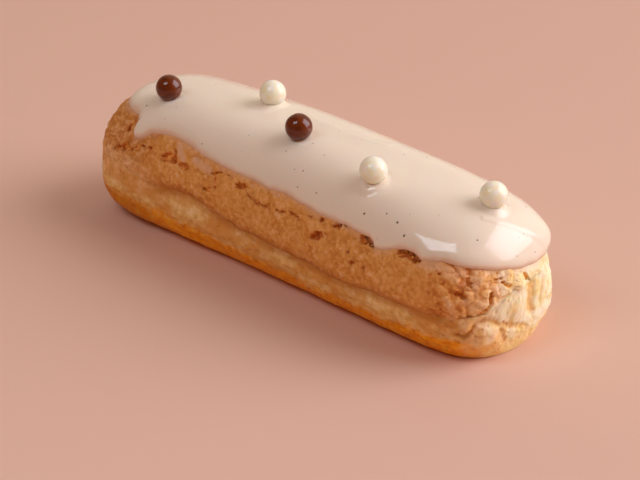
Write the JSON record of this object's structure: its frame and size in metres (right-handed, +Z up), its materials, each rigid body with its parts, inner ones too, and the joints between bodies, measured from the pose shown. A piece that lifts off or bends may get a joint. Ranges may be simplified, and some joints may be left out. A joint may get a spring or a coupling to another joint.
{
  "type": "glazed eclair",
  "caption": "Long choux bun with a craquelin crust, a cap of set white glaze and chocolate pearls on top.",
  "frame": {"origin": "centre of the bounding box at the flat base that the eclair rests on", "axes": "+X along the eclair's length, +Y across it, +Z up through the glaze"},
  "size_m": [0.1303, 0.0415, 0.0423],
  "materials": {
    "choux": "baked choux pastry under a sandy craquelin crust, golden at the base",
    "glaze": "set white chocolate and vanilla glaze, glossy",
    "dark_chocolate": "polished dark chocolate",
    "white_chocolate": "polished white chocolate"
  },
  "bodies": {
    "root": {"choux": "choux", "glaze": "glaze", "dark_pearl_left": "dark_chocolate", "dark_pearl_middle": "dark_chocolate", "white_pearl_left": "white_chocolate", "white_pearl_middle": "white_chocolate", "white_pearl_right": "white_chocolate"}
  },
  "joints": []
}
